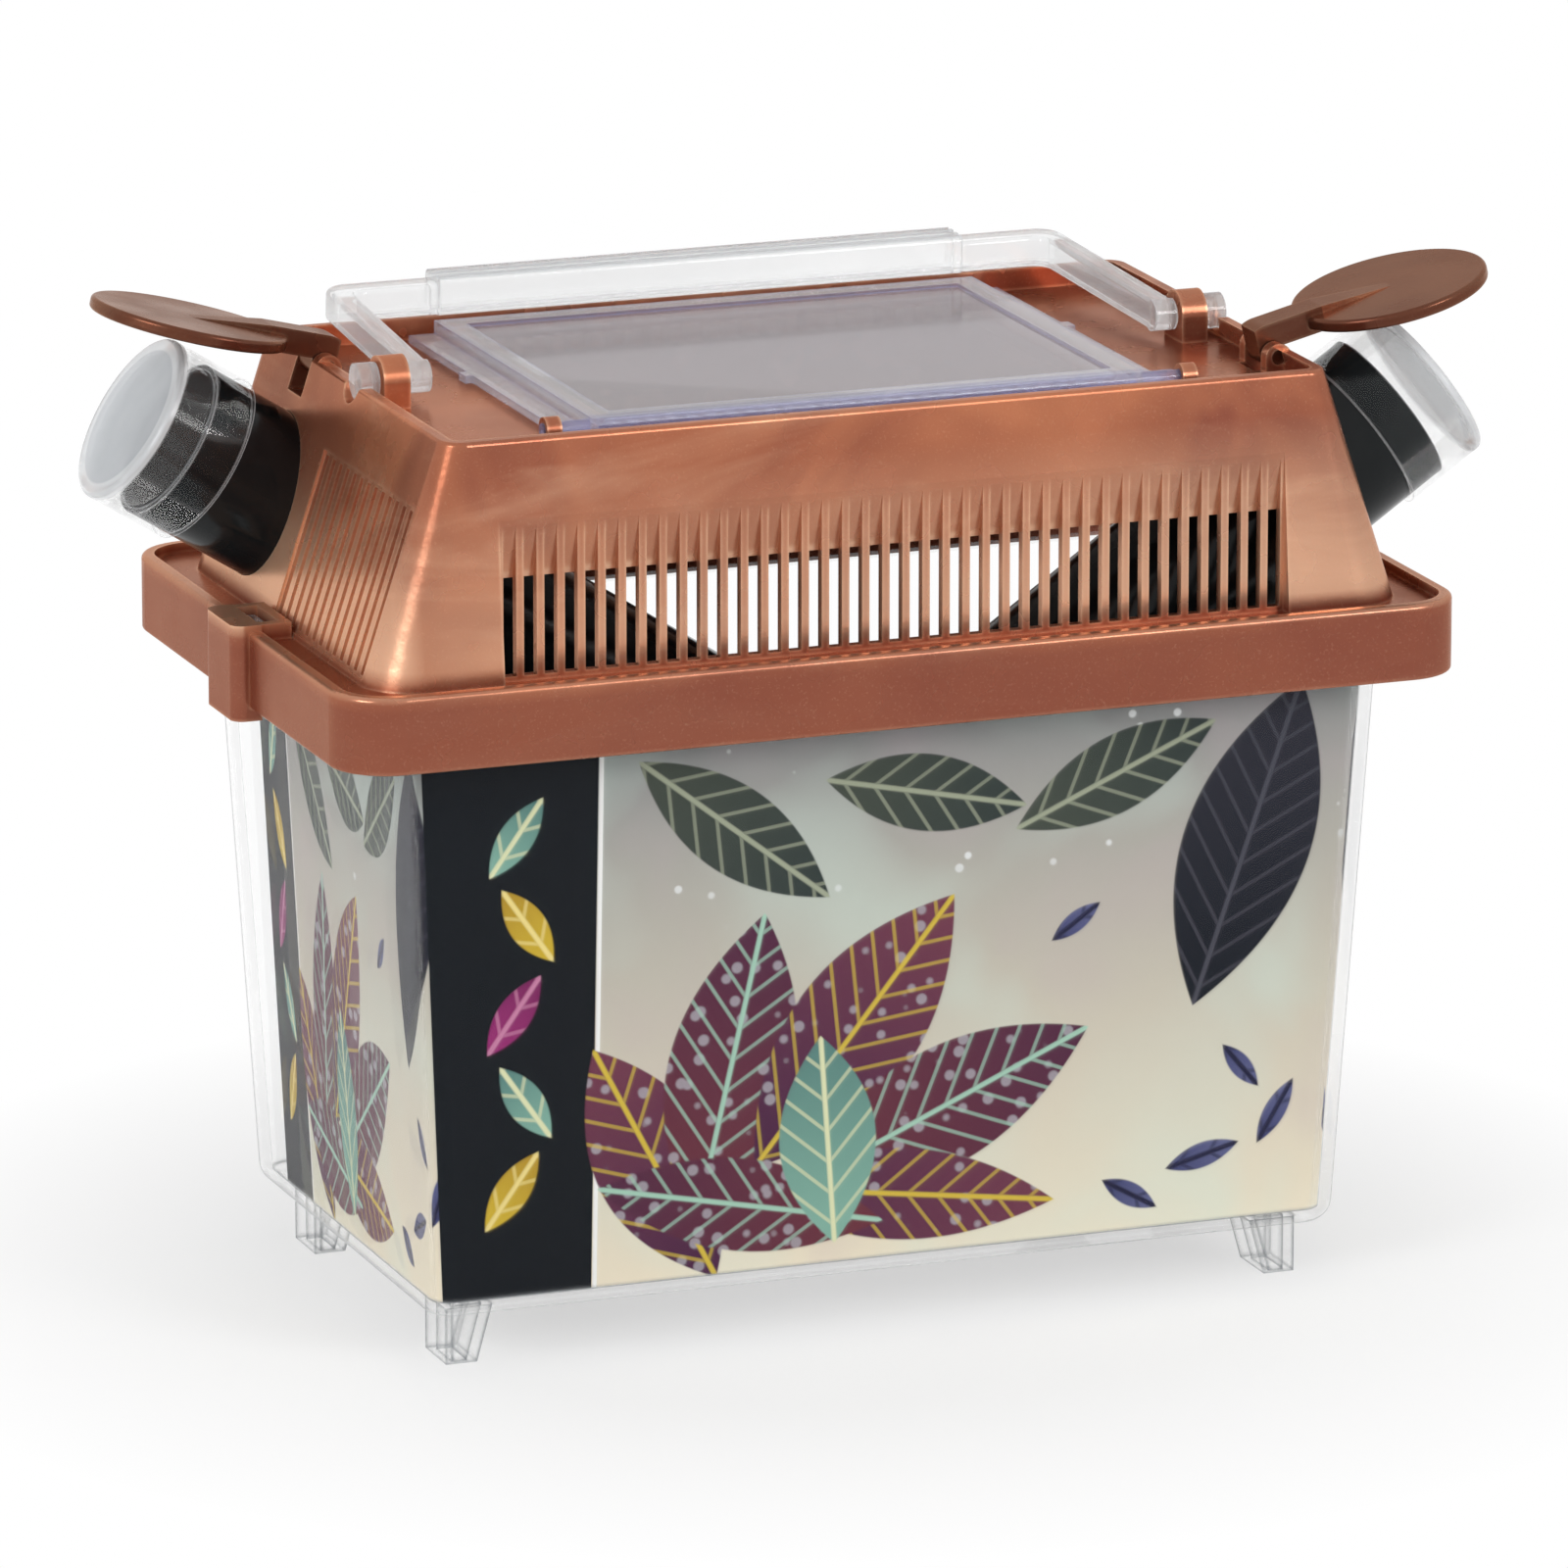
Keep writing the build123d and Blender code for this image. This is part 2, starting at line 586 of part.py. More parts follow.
# ---- Hatch ----------------------------------------------------------------------
def make_hatch():
    """Clear stepped hatch, hinged at its front edge."""
    top, hinge_z, bottom = hatch_levels()
    plate_low = top - hatch_thickness
    flange_x = hatch_half_length + hatch_flange_reach
    flange_top_z = bottom + hatch_flange_thickness
    hatch = box_between(-hatch_half_length, hatch_half_length, hatch_front, hatch_back, plate_low, top)
    window = box_between(-hatch_half_length + hatch_border_width, hatch_half_length - hatch_border_width,
                         hatch_front + hatch_border_width, hatch_back - hatch_border_width,
                         top - hatch_border_rise, top + 1)
    hatch -= window
    bump_x = flange_x + hatch_bump_reach
    step_x = hatch_half_length - hatch_step_wall
    for side in (-1, 1):
        step = box_between(step_x, hatch_half_length, hatch_front, hatch_back, bottom, top)
        flange = box_between(step_x, flange_x, hatch_front, hatch_back, bottom, flange_top_z)
        bump = box_between(flange_x - 1, bump_x, hatch_bump_place - hatch_bump_length / 2,
                           hatch_bump_place + hatch_bump_length / 2, bottom, flange_top_z)
        edge = step + flange + bump
        hatch += edge if side > 0 else mirror(edge, Plane.YZ)
    hatch += rod_along_x(2 * hatch_barrel_radius, -flange_x, flange_x, hatch_front, hinge_z)
    pin_x = flange_x + hatch_pin_length
    return hatch + rod_along_x(hatch_pin_diameter, -pin_x, pin_x, hatch_front, hinge_z)


# ---- Handle ---------------------------------------------------------------------
def handle_rest_angle():
    """Angle above level at which the bar's underside rests over the hood's back edge."""
    edge_y = hood_top_width / 2 - lid_wall
    rise = hood_top + handle_rest_gap - pivot_level + handle_thickness / 2
    return math.degrees(math.asin(rise / edge_y))


def make_handle():
    """Clear bail with a grooved grip, folded back over the hood's back edge."""
    outer = Polyline((handle_span / 2, 0), (handle_back_span / 2, handle_reach),
                     (-handle_back_span / 2, handle_reach), (-handle_span / 2, 0), close=True)
    inner_y = handle_reach - handle_bar_width
    inner = Polyline((handle_span / 2 - handle_arm_width, -1),
                     (handle_back_span / 2 - handle_arm_width, inner_y),
                     (-handle_back_span / 2 + handle_arm_width, inner_y),
                     (-handle_span / 2 + handle_arm_width, -1), close=True)
    outer_face = fillet(make_face(outer).vertices().group_by(Axis.Y)[-1], handle_corner_radius)
    inner_face = fillet(make_face(inner).vertices().group_by(Axis.Y)[-1], handle_inner_radius)
    frame = extrude(outer_face - inner_face, handle_thickness / 2, both=True)
    long_edges = [edge for edge in frame.edges().filter_by(Axis.Z, reverse=True)
                  if edge.center().Y > handle_edge_round]
    frame = fillet(long_edges, handle_edge_round)
    low = -handle_thickness / 2
    grip_y = handle_reach - handle_bar_width / 2
    grip = box_between(-grip_half_length, grip_half_length, grip_y - grip_width / 2, grip_y + grip_width / 2,
                       low, -low + grip_rise)
    grip = fillet(grip.edges().filter_by(Axis.X), grip_round)
    for place in (-1, 0, 1):
        grip -= Pos(0, grip_y + place * grip_groove_pitch, -low + grip_rise) * Box(
            2 * grip_half_length, grip_groove_width, 2 * grip_groove_depth)
    handle = frame + grip
    arm_out = handle_span / 2
    arm_in = arm_out - handle_arm_width
    stud_start = arm_out + lug_thickness + 2 * lug_gap
    for part in both_ends(rod_along_x(handle_thickness, arm_in, arm_out, 0, 0)
                          + rod_along_x(handle_pin_diameter, arm_in, stud_start + 1, 0, 0)
                          + rod_along_x(stud_diameter, stud_start, stud_start + stud_length, 0, 0)):
        handle += part
    return Pos(0, 0, pivot_level) * Rot(handle_rest_angle(), 0, 0) * handle


def write_parts():
    """Build every piece once and write one STEP file for each."""
    flap = make_flap()
    pieces = {
        "tank": make_tank(),
        "insert_card": make_card(),
        "lid": make_lid(),
        "hatch": make_hatch(),
        "handle": make_handle(),
    }
    for end, (turn, tilt, port_height, reach) in tube_ends.items():
        half_turn = Rot(0, 0, turn)
        pieces[end + "_tube"] = half_turn * make_tube(tilt, port_height, reach)
        pieces[end + "_tube_cap"] = half_turn * make_cap(tilt, port_height, reach)
        pieces[end + "_port_flap"] = half_turn * flap
    os.makedirs("parts", exist_ok=True)
    for name, piece in pieces.items():
        export_step(piece, os.path.join("parts", name + ".step"))


write_parts()
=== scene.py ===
import json
import math

import bpy
from bpy.props import FloatProperty, FloatVectorProperty, PointerProperty
from mathutils import Matrix, Vector


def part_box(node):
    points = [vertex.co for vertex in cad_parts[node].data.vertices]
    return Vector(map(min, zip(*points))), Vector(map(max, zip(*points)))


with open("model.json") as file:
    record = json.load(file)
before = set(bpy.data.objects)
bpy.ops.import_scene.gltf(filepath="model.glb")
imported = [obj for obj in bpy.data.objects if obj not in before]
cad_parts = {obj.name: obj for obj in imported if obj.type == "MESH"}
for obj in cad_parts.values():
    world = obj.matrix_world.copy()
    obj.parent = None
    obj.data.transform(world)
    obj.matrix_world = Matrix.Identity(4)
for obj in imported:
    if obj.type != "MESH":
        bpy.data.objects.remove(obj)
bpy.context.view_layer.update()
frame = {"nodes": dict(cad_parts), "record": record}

bl_info = {
    "name": "Insect keeper box",
    "version": (1, 0, 0),
    "blender": (4, 5, 0),
    "location": "View3D > Sidebar > Keeper",
    "description": "Finishes for a clear insect keeper with a copper coloured lid, and its stage",
    "category": "Object",
}

NODES = frame["nodes"]
MILLIMETRES = 1000.0
CARD_LOW, CARD_HIGH = (Vector(corner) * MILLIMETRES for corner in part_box("insert_card"))

# Detail of the surfaces, in features per metre.
CLOUDS = 24.0
STREAKS = (14.0, 14.0, 60.0)
# Patches in the pearl flow and painted highlight on the hood.
PEARL_HIGHLIGHT_PATCHES = 15.0
FLECKS = 2600.0
SKIN_GRAIN = 1400.0
COPPER_SHINE = 90.0
# Patches in the painted highlight along the copper edges.
EDGE_HIGHLIGHT_PATCHES = 160.0
FLOW_WAVES = 35.0
SCUFFS = 420.0
CAP_HAZE = 90.0
TUBE_SMUDGES = 60.0
TUBE_RUBS = 240.0
TUBE_SKIN = 900.0
CARD_CLOUDS = 28.0
CARD_SPOTS = 300.0
CARD_SEEDS = 180.0
CARD_FIBRE = 700.0

# Where a finish changes, in metres: one end and the other end of each change.
# Pearl flow and painted highlight on the hood: where it sets in and is full above the foot, and how it
# grows along the front and round the left corner.
PEARL_HIGHLIGHT_START = (0.0005, 0.003)         # above the hood's foot
PEARL_HIGHLIGHT_FULL = 0.005                    # above the hood's foot
# Painted shade on the skirt below the hood's foot: where it fades out.
SKIRT_PAINTED_SHADE = (-0.001, 0.003)        # above the hood's foot
PEARL_HIGHLIGHT_ALONG = (-0.055, 0.075)         # along the hood's front
PEARL_HIGHLIGHT_LEFT_END = (-0.074, -0.079)     # round the hood's left corner
CAP_CHAMBER = (-0.0002, 0.0006)      # past the tube's outer end
CAP_FACE = (0.0058, 0.0064)          # past the tube's outer end
CAP_RIM = (0.0112, 0.0116)           # from the cap's axis
HATCH_TOP = (0.0005, 0.0003)         # below the hatch's top
HATCH_SIDE = (0.0430, 0.0436)        # from the lid's middle
HATCH_FRONT = (0.0036, 0.0028)       # behind the hatch's front edge
FLOOR_FADE = (0.08, 0.155)           # from the middle of the floor

# How edge-on a clear wall is seen before its outline shows, and where the outline is full.
GRAZING = (0.74, 0.90)

# Widths of the painted edges (paler painted highlight on copper and clear pieces, darker painted shade
# on the tank and handle), heights of the bumps and depth of the glow, in metres.
COPPER_EDGE = 0.0009
CLEAR_EDGE = 0.0008
TANK_EDGE = 0.0015
CAP_EDGE = 0.0006
HATCH_EDGE = 0.0010
HATCH_RIM = 0.0012
CLEAR_RIPPLE = 0.00001
TUBE_RIPPLE = 0.00001
CARD_RELIEF = 0.000002
COPPER_GLOW = 0.003

# The stage: lamps by their place and side, and the floor, in metres.
KEY_LAMP = (-1.70, -0.75, 1.00), 0.8
FILL_LAMP = (1.0, -1.6, 0.9), 0.7
FLOOR_HALF = 3.0


# ---- Settings -------------------------------------------------------------------
def colour(name, description, default):
    return FloatVectorProperty(name=name, description=description, subtype="COLOR", size=3,
                               min=0.0, max=1.0, default=default)


def share(name, description, default, high=1.0):
    return FloatProperty(name=name, description=description, subtype="FACTOR",
                         min=0.0, max=high, default=default)


def distance(name, description, default, high=1.0):
    return FloatProperty(name=name, description=description, subtype="DISTANCE", unit="LENGTH",
                         min=0.0, max=high, default=default)


def power(name, description, default):
    return FloatProperty(name=name, description=description, subtype="POWER", unit="POWER",
                         min=0.0, max=500.0, default=default)


def point(name, description, default):
    return FloatVectorProperty(name=name, description=description, subtype="XYZ", unit="LENGTH",
                               size=3, default=default)


class KeeperColours(bpy.types.PropertyGroup):
    copper: colour("Copper", "Pigment of the lid and the flaps", (0.460, 0.165, 0.084))
    # Deep copper: real clouds in the moulding, and also the painted shade on the lid's skirt.
    copper_deep_and_skirt_shade: colour("Deep copper", "Pigment in the clouds of the moulding", (0.245, 0.074, 0.046))
    copper_sheen: colour("Copper sheen", "Tint of the light that the copper pieces throw back",
                         (0.88, 0.60, 0.46))
    # Pearl: real pearl streaks and flecks, and also the painted highlight on the hood and along the
    # copper edges.
    copper_pearl_and_highlight: colour("Pearl", "Pale pearl flow in the moulding", (0.84, 0.52, 0.34))
    tank: colour("Tank", "Tint of the clear tank", (0.975, 0.985, 0.985))
    # Painted shade: the window's dark warm tint stands for the shaded inside of the lid seen through
    # it.
    hatch: colour("Hatch", "Tint of the hatch's window", (0.38, 0.295, 0.25))
    hatch_frame: colour("Hatch frame", "Pale frame and side flanges of the hatch", (0.88, 0.88, 0.92))
    hatch_edge: colour("Hatch edge", "Blue cast where the hatch is seen edge-on", (0.48, 0.50, 0.80))
    handle: colour("Handle", "Tint of the clear handle", (0.95, 0.96, 0.965))
    # Painted shade: soft grey along the handle's edges and where it is seen edge-on.
    handle_edge_shade: colour("Handle edge", "Soft grey along the handle's edges", (0.72, 0.75, 0.77))
    cap: colour("Cap", "Tint of the clear caps", (0.95, 0.96, 0.965))
    # Painted shade: grey on the caps' end faces for the dark chamber behind them.
    cap_face_shade: colour("Cap face", "Grey of the caps' hazy end faces", (0.62, 0.65, 0.68))
    cap_rim: colour("Cap rim", "Paler ring round the caps' end faces", (0.86, 0.88, 0.90))
    edge: colour("Clear edges", "Pale light caught by the edges of clear pieces", (0.90, 0.92, 0.94))
    # Painted shade: grey on the tank's rim and corners and where its walls are seen edge-on.
    tank_edge_shade: colour("Tank edge", "Grey of the tank's rim and corners seen edge-on",
                      (0.20, 0.22, 0.235))
    tube: colour("Tube", "Black of the tubes", (0.006, 0.008, 0.009))
    card_top: colour("Card top", "Top of the card's fade", (0.27, 0.28, 0.285))
    card_foot: colour("Card foot", "Foot of the card's fade", (0.80, 0.72, 0.56))
    card_dark: colour("Card band", "Dark band on the card", (0.008, 0.010, 0.013))
    floor: colour("Floor", "Floor and surroundings", (0.96, 0.96, 0.96))


class KeeperSurface(bpy.types.PropertyGroup):
    copper_roughness: share("Copper roughness", "Mean roughness of the lid", 0.25)
    copper_metal: share("Copper metal", "How metallic the pigment looks", 0.62)
    clear_roughness: share("Clear roughness", "Roughness of the polished clear pieces", 0.015)
    tank_body: share("Tank body", "Share of light that meets the tank's walls", 0.10)
    hatch_body: share("Hatch body", "Share of light that meets the hatch", 0.65)
    handle_body: share("Handle body", "Share of light that meets the handle", 0.78)
    cap_sleeve: share("Cap sleeve", "Share of light that meets the caps' sleeves", 0.10)
    cap_body: share("Cap body", "Share of light that meets the caps past the tube's end", 0.24)
    cap_frost: share("Cap frost", "Milkiness of the caps' end faces", 0.60)
    tube_roughness: share("Tube roughness", "Roughness of the black tubes", 0.10)
    grain: distance("Grain", "Height of the moulded skin's grain", 0.000015, high=0.001)
    # The painted highlight of the pearl flow is strongest just above the hood's foot and ends at the
    # next height; the painted shade of the skirt ends at the foot.
    hood_foot: distance("Foot of the hood", "Height where the pearl flow is strongest", 0.1082)
    pearl_highlight_top: distance("Top of the pearl flow", "Height where the pearl flow ends", 0.139)


class KeeperStage(bpy.types.PropertyGroup):
    target: point("Target", "Point the camera looks at", (-0.0014, 0.0, 0.07605))
    camera: point("Camera", "Where the camera stands", (-0.6692, -1.7648, 0.5710))
    lens: FloatProperty(name="Lens", description="Focal length on a 36 mm sensor, in millimetres",
                        min=20.0, max=500.0, default=289.5)
    key: power("Key light", "Power of the large lamp over the left", 18.0)
    fill: power("Fill light", "Power of the lamp at the front right", 15.0)
    ambient: share("Ambient", "Brightness of the surroundings", 0.48, high=2.0)
    floor_glow: share("Floor glow", "Share of plain white the eye sees in the floor under the object",
                      0.55)


SETTINGS = {
    "keeper_colours": KeeperColours,
    "keeper_surface": KeeperSurface,
    "keeper_stage": KeeperStage,
}


def colours():
    return bpy.context.scene.keeper_colours


def surface():
    return bpy.context.scene.keeper_surface


def rgba(value):
    return (*value, 1.0)


# ---- Node helpers ---------------------------------------------------------------
def put(tree, value, socket):
    """Link an output, or set a plain value."""
    if isinstance(value, bpy.types.NodeSocket):
        tree.links.new(value, socket)
    else:
        socket.default_value = value


def calc(tree, operation, *values):
    """One Math node and its output."""
    node = tree.nodes.new("ShaderNodeMath")
    node.operation = operation
    for value, socket in zip(values, node.inputs):
        put(tree, value, socket)
    return node.outputs[0]


def blend_colours(tree, factor, first, second):
    """Mix of two colours, each an output or three numbers."""
    node = tree.nodes.new("ShaderNodeMix")
    node.data_type = "RGBA"
    put(tree, factor, node.inputs[0])
    for value, socket in ((first, node.inputs[6]), (second, node.inputs[7])):
        put(tree, value if isinstance(value, bpy.types.NodeSocket) else rgba(value), socket)
    return node.outputs[2]


def noise(tree, vector, scale, detail=2.0, roughness=0.5, distortion=0.0):
    """Noise value at a scale in features per metre."""
    node = tree.nodes.new("ShaderNodeTexNoise")
    put(tree, vector, node.inputs["Vector"])
    node.inputs["Scale"].default_value = scale
    node.inputs["Detail"].default_value = detail
    node.inputs["Roughness"].default_value = roughness
    node.inputs["Distortion"].default_value = distortion
    return node.outputs["Fac"]


def cells(tree, vector, scale):
    """Distance to the nearest of a scatter of points."""
    node = tree.nodes.new("ShaderNodeTexVoronoi")
    put(tree, vector, node.inputs["Vector"])
    node.inputs["Scale"].default_value = scale
    return node.outputs["Distance"]


def spread(tree, value, low, high, to_low=0.0, to_high=1.0):
    """Map a range of values to another, clamped."""
    node = tree.nodes.new("ShaderNodeMapRange")
    for entry, socket in zip((value, low, high, to_low, to_high), node.inputs):
        put(tree, entry, socket)
    return node.outputs[0]


def bumped(tree, height, reach):
    """Bump normal from a height, whose full value stands for a reach in metres."""
    node = tree.nodes.new("ShaderNodeBump")
    node.inputs["Strength"].default_value = 1.0
    node.inputs["Distance"].default_value = reach
    put(tree, height, node.inputs["Height"])
    return node.outputs["Normal"]


def axes(tree, vector):
    """X, Y and Z of a vector."""
    node = tree.nodes.new("ShaderNodeSeparateXYZ")
    put(tree, vector, node.inputs[0])
    return node.outputs


def vector_calc(tree, operation, *vectors):
    """One Vector Math node and its vector, or its value for a length or a dot product."""
    node = tree.nodes.new("ShaderNodeVectorMath")
    node.operation = operation
    for vector, socket in zip(vectors, node.inputs):
        put(tree, vector, socket)
    return node.outputs["Value" if operation in ("LENGTH", "DOT_PRODUCT") else "Vector"]


def edge_mask(tree, radius):
    """1 along the edges of a moulding, 0 on its flats."""
    bevel = tree.nodes.new("ShaderNodeBevel")
    bevel.samples = 4
    bevel.inputs["Radius"].default_value = radius
    geometry = tree.nodes.new("ShaderNodeNewGeometry")
    dot = vector_calc(tree, "DOT_PRODUCT", bevel.outputs[0], geometry.outputs["Normal"])
    return spread(tree, dot, 0.99, 0.80)


def start_material(name):
    """Material with one Principled shader; gives the material, tree, shader and place socket."""
    material = bpy.data.materials.new(name)
    material.use_nodes = True
    tree = material.node_tree
    shader = next(node for node in tree.nodes if node.type == "BSDF_PRINCIPLED")
    place = tree.nodes.new("ShaderNodeTexCoord").outputs["Object"]
    return material, tree, shader, place


def finish_node(name, material):
    """Give a CAD node its finish."""
    if name not in NODES:
        raise RuntimeError(f"the frame has no node named {name}")
    slots = NODES[name].data.materials
    slots.clear()
    slots.append(material)


# ---- Finishes -------------------------------------------------------------------
def pearl_and_highlight_share(tree, place):
    """Share of pearl flow and painted highlight on the lid's hood: strong at its foot, its right end
    and round its left corner, none at its top.
    """
    along, _, height = axes(tree, place)
    foot = surface().hood_foot
    rise = calc(tree, "MULTIPLY", spread(tree, height, foot + PEARL_HIGHLIGHT_FULL, surface().pearl_highlight_top, 1.0, 0.0),
                spread(tree, height, *(foot + step for step in PEARL_HIGHLIGHT_START)))
    patches = spread(tree, noise(tree, place, PEARL_HIGHLIGHT_PATCHES, 2.0), 0.34, 0.62, 0.55, 1.0)
    fan = calc(tree, "MAXIMUM", spread(tree, along, *PEARL_HIGHLIGHT_ALONG, 0.35, 1.0),
               spread(tree, along, *PEARL_HIGHLIGHT_LEFT_END))
    return calc(tree, "MULTIPLY", calc(tree, "MULTIPLY", rise, patches), fan)


def copper_finish(name, shade=1.0, pearl_flow_and_highlight=False):
    """Pearl copper pigment in a satin moulding, with soft flow clouds and paler edges of painted
    highlight; with the pearl flow, painted highlight at the hood's foot and ends and painted shade on
    the skirt.
    """
    material, tree, shader, place = start_material(name)
    tones = colours()
    copper, deep, pearl = ([c * shade for c in tone]
                           for tone in (tones.copper, tones.copper_deep_and_skirt_shade, tones.copper_pearl_and_highlight))
    cloud = noise(tree, place, CLOUDS, 3.0, 0.55, 0.8)
    streak = tree.nodes.new("ShaderNodeMapping")
    streak.inputs["Scale"].default_value = STREAKS
    tree.links.new(place, streak.inputs["Vector"])
    flow = noise(tree, streak.outputs[0], 1.0, 4.0, 0.6, 1.2)
    base = blend_colours(tree, spread(tree, cloud, 0.36, 0.66), deep, copper)
    base = blend_colours(tree, spread(tree, flow, 0.50, 0.80, 0.0, 0.35), base, pearl)
    if pearl_flow_and_highlight:
        low, high = (surface().hood_foot + step for step in SKIRT_PAINTED_SHADE)
        # Painted shade: the skirt below the hood's foot darkened towards deep copper.
        base = blend_colours(tree, spread(tree, axes(tree, place)[2], low, high, 0.85, 0.0), base, deep)
        # Painted highlight in pearl: strongest at the hood's foot, towards its right end and round its
        # left corner.
        base = blend_colours(tree, pearl_and_highlight_share(tree, place), base, pearl)
    flecks = spread(tree, noise(tree, place, FLECKS, 1.0), 0.60, 0.80, 0.0, 0.10)
    base = blend_colours(tree, flecks, base, pearl)
    # Painted highlight: paler pearl along the edges, broken into patches.
    painted_edge_highlight = calc(tree, "MULTIPLY", edge_mask(tree, COPPER_EDGE),
                spread(tree, noise(tree, place, EDGE_HIGHLIGHT_PATCHES), 0.3, 0.7, 0.25, 0.7))
    put(tree, blend_colours(tree, painted_edge_highlight, base, pearl), shader.inputs["Base Color"])
    shader.inputs["Metallic"].default_value = surface().copper_metal
    shader.inputs["Specular IOR Level"].default_value = 0.30
    shader.inputs["Specular Tint"].default_value = rgba(tones.copper_sheen)
    shader.inputs["Subsurface Weight"].default_value = 0.25
    shader.inputs["Subsurface Radius"].default_value = (1.0, 0.4, 0.25)
    shader.inputs["Subsurface Scale"].default_value = COPPER_GLOW
    rough = surface().copper_roughness
    put(tree, spread(tree, noise(tree, place, COPPER_SHINE, 3.0), 0.3, 0.7, rough - 0.05, rough + 0.07),
        shader.inputs["Roughness"])
    grain = calc(tree, "ADD", noise(tree, place, SKIN_GRAIN, 2.0), calc(tree, "MULTIPLY", cloud, 1.5))
    put(tree, bumped(tree, grain, surface().grain), shader.inputs["Normal"])
    return material


def clear_finish(name, tint, body, edge_tint=None, edge_body=0.85, edge_width=CLEAR_EDGE,
                 softness=0.0, haze=0.0, edge_haze=0.0):
    """Polished clear moulding: faint flow waves, a few scuffs, and edges, and walls seen edge-on,
    painted in an edge colour: painted highlight in the pale one, painted shade in a grey one.

    Gives what start_material gives. A body is the share of light that meets the piece, and a
    haze the share that doesn't pass through it.
    """
    material, tree, shader, place = start_material(name)
    swirl = noise(tree, place, FLOW_WAVES, 2.0, 0.5, 1.5)
    slant = tree.nodes.new("ShaderNodeLayerWeight")
    slant.inputs["Blend"].default_value = 0.5
    outline = spread(tree, slant.outputs["Facing"], *GRAZING)
    edge = calc(tree, "MAXIMUM", edge_mask(tree, edge_width), outline)
    inner = blend_colours(tree, spread(tree, swirl, 0.35, 0.65), [c * 0.985 for c in tint], tint)
    # Edge colour along the edges and edge-on walls: painted highlight in the pale default, painted
    # shade in the grey ones.
    put(tree, blend_colours(tree, edge, inner, colours().edge if edge_tint is None else edge_tint),
        shader.inputs["Base Color"])
    put(tree, spread(tree, edge, 0.0, 1.0, 1.0 - haze, 1.0 - max(haze, edge_haze)),
        shader.inputs["Transmission Weight"])
    shader.inputs["IOR"].default_value = 1.46
    put(tree, spread(tree, edge, 0.0, 1.0, body, edge_body), shader.inputs["Alpha"])
    low = surface().clear_roughness + softness
    put(tree, spread(tree, noise(tree, place, SCUFFS, 4.0, 0.7), 0.58, 0.80, low, low + 0.04),
        shader.inputs["Roughness"])
    put(tree, bumped(tree, swirl, CLEAR_RIPPLE), shader.inputs["Normal"])
    return material, tree, shader, place


def cap_finish(end):
    """Clear sleeve over the tube's end, a hazy chamber past it and a milky end face painted grey as the
    shade of the chamber behind it.
    """
    joints = frame["record"]["behaviour"]["joints"]
    joint = next(entry for entry in joints if entry["name"] == end + "_cap_turn")
    tones = colours()
    material, tree, shader, place = clear_finish(f"clear {end} cap plastic", tones.cap,
                                                 surface().cap_body)
    offset = vector_calc(tree, "SUBTRACT", place, joint["pos_m"])
    along = vector_calc(tree, "DOT_PRODUCT", offset, joint["axis"])
    radius = vector_calc(tree, "LENGTH", vector_calc(tree, "CROSS_PRODUCT", offset, joint["axis"]))
    chamber = spread(tree, along, *CAP_CHAMBER)
    face = spread(tree, along, *CAP_FACE)
    rim = spread(tree, radius, *CAP_RIM)
    haze = spread(tree, noise(tree, place, CAP_HAZE, 2.0), 0.3, 0.7, 0.85, 1.0)
    edge = edge_mask(tree, CAP_EDGE)
    body = spread(tree, chamber, 0.0, 1.0, surface().cap_sleeve, surface().cap_body)
    body = calc(tree, "MAXIMUM", body, calc(tree, "MULTIPLY", face, 0.85))
    put(tree, calc(tree, "MAXIMUM", body, calc(tree, "MULTIPLY", edge, 0.80)), shader.inputs["Alpha"])
    # Painted shade: the end face grey inside its paler rim.
    tint = blend_colours(tree, face, tones.cap, blend_colours(tree, rim, tones.cap_face_shade, tones.cap_rim))
    put(tree, blend_colours(tree, edge, tint, tones.edge), shader.inputs["Base Color"])
    milk = calc(tree, "MAXIMUM", calc(tree, "MULTIPLY", face, haze), calc(tree, "MULTIPLY", edge, 0.8))
    milk = calc(tree, "MAXIMUM", milk, calc(tree, "MULTIPLY", chamber, 0.20))
    put(tree, spread(tree, milk, 0.0, 1.0, 1.0, 1.0 - surface().cap_frost),
        shader.inputs["Transmission Weight"])
    put(tree, spread(tree, milk, 0.0, 1.0, 0.01, 0.20), shader.inputs["Roughness"])
    return material


def hatch_finish():
    """Clear hatch with a window darkened to a warm tint as painted shade of the lid's inside, a paler
    frame and a blue cast along its hinge edge.
    """
    tones = colours()
    material, tree, shader, place = clear_finish(
        "clear hatch plastic", tones.hatch, surface().hatch_body, tones.hatch_edge,
        edge_width=HATCH_EDGE, softness=0.09)
    low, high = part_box("hatch")
    along, across, height = axes(tree, place)
    top = spread(tree, height, *(high[2] - step for step in HATCH_TOP))
    side = spread(tree, calc(tree, "ABSOLUTE", along), *HATCH_SIDE)
    front = spread(tree, across, *(low[1] + step for step in HATCH_FRONT))
    frame_part = calc(tree, "MAXIMUM", calc(tree, "MAXIMUM", top, side), front)
    # The window's tint carries painted shade of the lid's inside.
    window = shader.inputs["Base Color"].links[0].from_socket
    tint = blend_colours(tree, frame_part, window, tones.hatch_frame)
    rim = calc(tree, "MAXIMUM", front, calc(tree, "MULTIPLY", edge_mask(tree, HATCH_RIM), 0.8))
    put(tree, blend_colours(tree, rim, tint, tones.hatch_edge), shader.inputs["Base Color"])
    put(tree, spread(tree, frame_part, 0.0, 1.0, 0.50, 0.70), shader.inputs["Transmission Weight"])
    shader.inputs["Specular IOR Level"].default_value = 0.3
    return material


